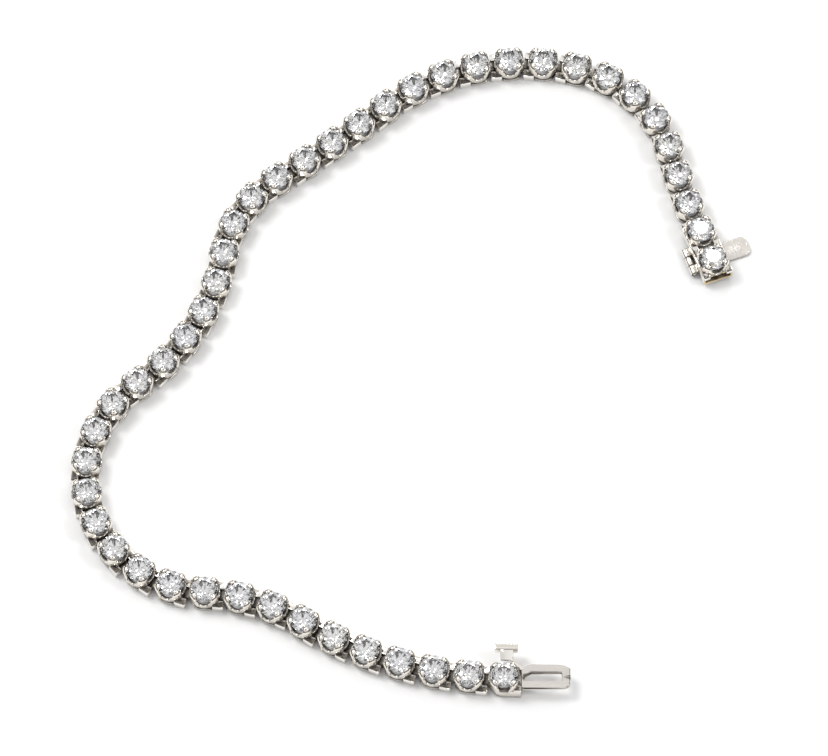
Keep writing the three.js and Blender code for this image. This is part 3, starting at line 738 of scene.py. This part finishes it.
def maths(tree, operation, *parts, clamp=False):
    """The result of a maths node whose parts are numbers or the outputs of other nodes."""
    node = add(tree.nodes, "ShaderNodeMath", operation=operation, use_clamp=clamp)
    for socket, part in zip(node.inputs, parts):
        if isinstance(part, float):
            socket.default_value = part
        else:
            tree.links.new(part, socket)
    return node.outputs[0]


def mapped(tree, value, start, end):
    """A node that turns a value at start[0] into start[1] and one at end[0] into end[1], evenly
    between them and flat beyond."""
    ends = {"From Min": start[0], "From Max": end[0], "To Min": start[1], "To Max": end[1]}
    node = add(tree.nodes, "ShaderNodeMapRange", sockets=ends)
    tree.links.new(value, node.inputs["Value"])
    return node


def shaded_worn_metal_group():
    """Jeweller's metal with painted shade: the colour falls towards Recess, and loses its metallic look,
    in the recesses marked by a per-point attribute, broken up by soft noise. Hairline polishing marks go
    in the roughness and the bump height. Brush squeezes the marks along the piece's own axes, so that
    small values draw them out into streaks, and Nooks is how much painted shade ambient occlusion adds
    where surfaces come close together."""
    group, source, sink = new_group(
        "shaded_worn_metal",
        [
            ("Metal", "NodeSocketColor", (0.8, 0.8, 0.8, 1)),
            ("Recess", "NodeSocketColor", (0.1, 0.08, 0.06, 1)),
            ("Roughness", "NodeSocketFloat", 0.12),
            ("Marks", "NodeSocketFloat", 0.3),
            ("Grain", "NodeSocketFloat", 9000.0),
            ("Brush", "NodeSocketVector", (1.0, 1.0, 1.0)),
            ("Nooks", "NodeSocketFloat", 1.0),
        ],
        [
            ("Color", "NodeSocketColor"),
            ("Metallic", "NodeSocketFloat"),
            ("Roughness", "NodeSocketFloat"),
            ("Height", "NodeSocketFloat"),
        ],
    )
    nodes, link = group.nodes, group.links.new
    coords = add(nodes, "ShaderNodeTexCoord").outputs["Object"]

    # Painted shade from the per-point attribute, and from ambient occlusion within NOOK_REACH.
    painted_shade = add(nodes, "ShaderNodeAttribute", attribute_name="painted_shade").outputs["Fac"]
    nook = add(nodes, "ShaderNodeAmbientOcclusion", samples=6, sockets={"Distance": NOOK_REACH})
    depth = mapped(group, nook.outputs["AO"], (0.8, 0.0), (0.42, 1.0))
    link(source.outputs["Nooks"], depth.inputs["To Max"])
    shade_mask = maths(group, "MAXIMUM", painted_shade, depth.outputs["Result"])
    blotch = add(nodes, "ShaderNodeTexNoise", sockets=BLOTCH)
    link(coords, blotch.inputs["Vector"])
    spread = mapped(group, blotch.outputs["Fac"], (0.35, 0.65), (0.65, 1.1))
    ragged_shade = maths(group, "MULTIPLY_ADD", shade_mask, spread.outputs["Result"], 0.0, clamp=True)

    # The colour is mixed towards Recess where the painted shade lies, and the metallic look drops with
    # it.
    tone = add(nodes, "ShaderNodeMix", data_type="RGBA")
    link(ragged_shade, tone.inputs["Factor"])
    link(source.outputs["Metal"], tone.inputs["A"])
    link(source.outputs["Recess"], tone.inputs["B"])
    link(tone.outputs["Result"], sink.inputs["Color"])
    link(maths(group, "MULTIPLY_ADD", ragged_shade, -0.9, 1.0), sink.inputs["Metallic"])

    own = add(nodes, "ShaderNodeAttribute", attribute_name="own_place")
    squeezed = add(nodes, "ShaderNodeVectorMath", operation="MULTIPLY")
    link(own.outputs["Vector"], squeezed.inputs[0])
    link(source.outputs["Brush"], squeezed.inputs[1])
    grain = add(nodes, "ShaderNodeTexNoise", sockets={"Detail": 2.0, "Roughness": 0.7})
    link(squeezed.outputs["Vector"], grain.inputs["Vector"])
    link(source.outputs["Grain"], grain.inputs["Scale"])
    marks = maths(group, "MULTIPLY", grain.outputs["Fac"], source.outputs["Marks"])
    rough = maths(group, "MULTIPLY_ADD", marks, 0.25, source.outputs["Roughness"])
    link(maths(group, "MULTIPLY_ADD", ragged_shade, 0.35, rough, clamp=True), sink.inputs["Roughness"])

    uneven = add(nodes, "ShaderNodeTexNoise", sockets=UNEVEN)
    link(coords, uneven.inputs["Vector"])
    link(maths(group, "MULTIPLY_ADD", uneven.outputs["Fac"], 1.4, marks), sink.inputs["Height"])
    return group


def metal(name, colour, recess, roughness, marks, grain=9000.0, bump=0.1, brush=(1, 1, 1), nooks=1.0):
    """A metal finish: the group of painted shade and polishing marks on a Principled shader."""
    material = bpy.data.materials.new(name)
    material.use_nodes = True
    nodes, link = material.node_tree.nodes, material.node_tree.links.new
    shader = nodes["Principled BSDF"]
    look = {
        "Metal": (*colour, 1),
        "Recess": (*recess, 1),
        "Roughness": roughness,
        "Marks": marks,
        "Grain": grain,
        "Brush": brush,
        "Nooks": nooks,
    }
    surface = add(nodes, "ShaderNodeGroup", node_tree=worn, sockets=look)
    relief = add(nodes, "ShaderNodeBump", sockets={"Strength": bump, "Distance": BUMP_HEIGHT})
    link(surface.outputs["Height"], relief.inputs["Height"])
    link(surface.outputs["Color"], shader.inputs["Base Color"])
    link(surface.outputs["Metallic"], shader.inputs["Metallic"])
    link(surface.outputs["Roughness"], shader.inputs["Roughness"])
    link(relief.outputs["Normal"], shader.inputs["Normal"])
    return material


def diamond():
    """Colourless faceted stone: smooth glass of a diamond's index, its colour uneven by a hair."""
    material = bpy.data.materials.new("diamond")
    material.use_nodes = True
    nodes, link = material.node_tree.nodes, material.node_tree.links.new
    shader = nodes["Principled BSDF"]
    shader.inputs["Transmission Weight"].default_value = 1.0
    shader.inputs["IOR"].default_value = DIAMOND_INDEX
    shader.inputs["Roughness"].default_value = 0.0
    coords = add(nodes, "ShaderNodeTexCoord")
    tint = add(nodes, "ShaderNodeTexNoise", sockets={"Scale": 500.0, "Detail": 1.0})
    ramp = add(nodes, "ShaderNodeValToRGB")
    cool, warm = ramp.color_ramp.elements
    cool.position, cool.color = 0.35, (0.95, 0.95, 1.0, 1)
    warm.position, warm.color = 0.65, (1.0, 0.99, 0.96, 1)
    link(coords.outputs["Object"], tint.inputs["Vector"])
    link(tint.outputs["Fac"], ramp.inputs["Fac"])
    link(ramp.outputs["Color"], shader.inputs["Base Color"])
    return material


worn = shaded_worn_metal_group()
finishes = [
    metal("white_gold_polished", WHITE_GOLD, SHADE_COLOUR, 0.1, 0.3),
    metal("white_gold_bright_cut", (0.9, 0.87, 0.83), SHADE_COLOUR, 0.05, 0.15, bump=0.05, nooks=0.1),
    metal("white_gold_satin", (0.76, 0.725, 0.68), SHADE_COLOUR, 0.13, 0.9, 6000.0, 0.5, (0.04, 1, 1)),
    # the yellow is worn plating; its Recess colour is the painted shade inside the box's slot
    metal("box_mouth_worn", (0.8, 0.66, 0.42), (0.06, 0.034, 0.016), 0.18, 0.5),
]
brilliant = diamond()


# ---- where each link stands ---------------------------------------------------------------------
def stone_middle(k):
    """The middle of a stone's box in plan, in metres."""
    low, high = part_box(f"stone_{k + 1:02d}")
    return (np.array(low) + np.array(high))[:2] / 2


middles = np.array([stone_middle(k) for k in range(STONES)])


def headings():
    """Each link reaches half a pitch back to the hinge it shares with the link before, so its direction
    is that of its stone from that hinge. The first two stones share the clasp box."""
    out = [middles[1] - middles[0]]
    out.append(out[0])
    for k in range(2, STONES):
        before = out[-1] / np.linalg.norm(out[-1])
        out.append(middles[k] - middles[k - 1] - before * PITCH / 2 * MM)
    out = np.array(out)
    return np.arctan2(out[:, 1], out[:, 0])


heading = headings()

# ---- pieces -------------------------------------------------------------------------------------
plain = link_shell()
for first in range(2, STONES - 1, LINKS_PER_RUN):
    run = f"links_{first + 1:02d}_{first + LINKS_PER_RUN:02d}"
    for k in range(first, first + LINKS_PER_RUN):
        link_piece = plain.piece(f"link_{k + 1:02d}", heading[k], middles[k], finishes)
        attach(link_piece, "bracelet")
        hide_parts(run)

clasp_place = (middles[0] + middles[1]) / 2
for name, shell, node, body, place, turn in (
    ("box_clasp", clasp_box_shell(), "clasp_box", "bracelet", clasp_place, heading[0]),
    ("safety_flap_plate", flap_shell(), "clasp_flap", "safety_flap", clasp_place, heading[0]),
    ("flap_pin", pin_shell(), "clasp_hinge_pin", "bracelet", clasp_place, heading[0]),
    ("end_setting", end_link_shell(), "end_link", "bracelet", middles[-1], heading[-1]),
    ("spring_tongue", tongue_shell(), "tongue", "bracelet", middles[-1], heading[-1]),
):
    obj = shell.piece(name, turn, place, finishes)
    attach(obj, body)
    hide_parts(node)

for k in range(STONES):
    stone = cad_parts[f"stone_{k + 1:02d}"]
    for slot in stone.material_slots:
        slot.material = brilliant

# ---- floor, light and camera --------------------------------------------------------------------
scene = bpy.context.scene
FLOOR_HALF = 3.0
ELEVATION = np.radians(63)
LENS_SIDE = np.array([0.0, -np.cos(ELEVATION), np.sin(ELEVATION)])
LENS_AIM = np.array([0.00015, -0.0011, 0])
LENS_AWAY = 0.8
LENS_PLACE = LENS_AIM + LENS_AWAY * LENS_SIDE
LENS_MM = 301.5
TABLE_Z = 3.26                  # the flat tops of the two stones on the clasp box
CATCH_HEIGHT = 0.2
TENT_LOW = ((0.0, 0.12), (0.2, 0.05))   # place on the ramp, which is height, and brightness
TENT = ((0.42, 0.4), (0.62, 1.05), (0.88, 0.74), (1.0, 0.95))
OPENING = ((0.965, 1.0), (0.99, 0.1))   # cosine to the lens's side, and brightness left


def pale_floor():
    """A wide flat sheet of near-white paper."""
    mesh = bpy.data.meshes.new("floor")
    f = FLOOR_HALF
    mesh.from_pydata([(-f, -f, 0), (f, -f, 0), (f, f, 0), (-f, f, 0)], [], [(0, 1, 2, 3)])
    floor = bpy.data.objects.new("floor", mesh)
    scene.collection.objects.link(floor)
    material = bpy.data.materials.new("floor_paper")
    material.use_nodes = True
    shader = material.node_tree.nodes["Principled BSDF"]
    shader.inputs["Base Color"].default_value = (0.9, 0.9, 0.9, 1)
    shader.inputs["Roughness"].default_value = 0.6
    shader.inputs["Specular IOR Level"].default_value = 0.2
    mesh.materials.append(material)


def soft_box(name, place, size, power, target=(0.0, 0.0, 0.0)):
    """A square area light that faces its target, in most cases the middle of the floor."""
    light = bpy.data.lights.new(name, "AREA")
    light.shape = "SQUARE"
    light.size = size
    light.energy = power
    lamp = bpy.data.objects.new(name, light)
    lamp.location = place
    direction = np.array(target) - np.array(place)
    yaw = np.arctan2(direction[0], -direction[1])
    tilt = np.arctan2(np.hypot(direction[0], direction[1]), -direction[2])
    lamp.rotation_euler = (tilt, 0, yaw + PI)
    scene.collection.objects.link(lamp)


def studio():
    """A bright tent: even light from above, which falls off towards the horizon, with a dark opening
    where the lens looks in, so that polished metal and stones have something dark to show as well."""
    world = bpy.data.worlds.new("studio")
    world.use_nodes = True
    nodes, link = world.node_tree.nodes, world.node_tree.links.new
    background = nodes["Background"]
    coords = add(nodes, "ShaderNodeTexCoord")
    height = add(nodes, "ShaderNodeSeparateXYZ")
    link(coords.outputs["Generated"], height.inputs[0])
    tent = add(nodes, "ShaderNodeValToRGB")
    stops = tent.color_ramp.elements
    for stop, (position, level) in zip(stops, TENT_LOW):
        stop.position, stop.color = position, (level, level, level, 1)
    for position, level in TENT:
        stops.new(position).color = (level, level, level, 1)
    link(height.outputs["Z"], tent.inputs["Fac"])
    opening = add(nodes, "ShaderNodeVectorMath", operation="DOT_PRODUCT")
    link(coords.outputs["Generated"], opening.inputs[0])
    opening.inputs[1].default_value = LENS_SIDE
    dark = mapped(world.node_tree, opening.outputs["Value"], *OPENING)
    light = add(nodes, "ShaderNodeMix", data_type="RGBA", blend_type="MULTIPLY")
    light.inputs["Factor"].default_value = 1.0
    link(tent.outputs["Color"], light.inputs["A"])
    link(dark.outputs["Result"], light.inputs["B"])
    link(light.outputs["Result"], background.inputs["Color"])
    background.inputs["Strength"].default_value = 1.0
    scene.world = world
    soft_box("key", (-0.35, 0.2, 0.6), 0.25, 2.2)
    soft_box("fill", (0.5, -0.1, 0.55), 0.15, 0.9)
    soft_box("back", (0.1, 0.6, 0.35), 0.2, 0.7)


def catch_light():
    """A small lamp where the flat tables on the clasp box mirror it into the lens: from the clasp
    towards the lens with the sideways parts turned round, up to the lamp's height."""
    clasp = np.array([*clasp_place, MM * TABLE_Z])
    to_lens = LENS_PLACE - clasp
    to_lamp = to_lens * [-1, -1, 1] * CATCH_HEIGHT / to_lens[2]
    soft_box("catch", clasp + to_lamp, 0.01, 0.0028, target=clasp)


def camera():
    """Looks along +Y from 63 degrees above the floor, with a long lens."""
    data = bpy.data.cameras.new("camera")
    data.lens = LENS_MM
    data.sensor_width = 36
    data.clip_start = 0.01
    cam = bpy.data.objects.new("camera", data)
    cam.location = LENS_PLACE
    cam.rotation_euler = (PI / 2 - ELEVATION, 0, 0)
    scene.collection.objects.link(cam)
    scene.camera = cam


pale_floor()
studio()
catch_light()
camera()
scene.view_settings.view_transform = "Standard"
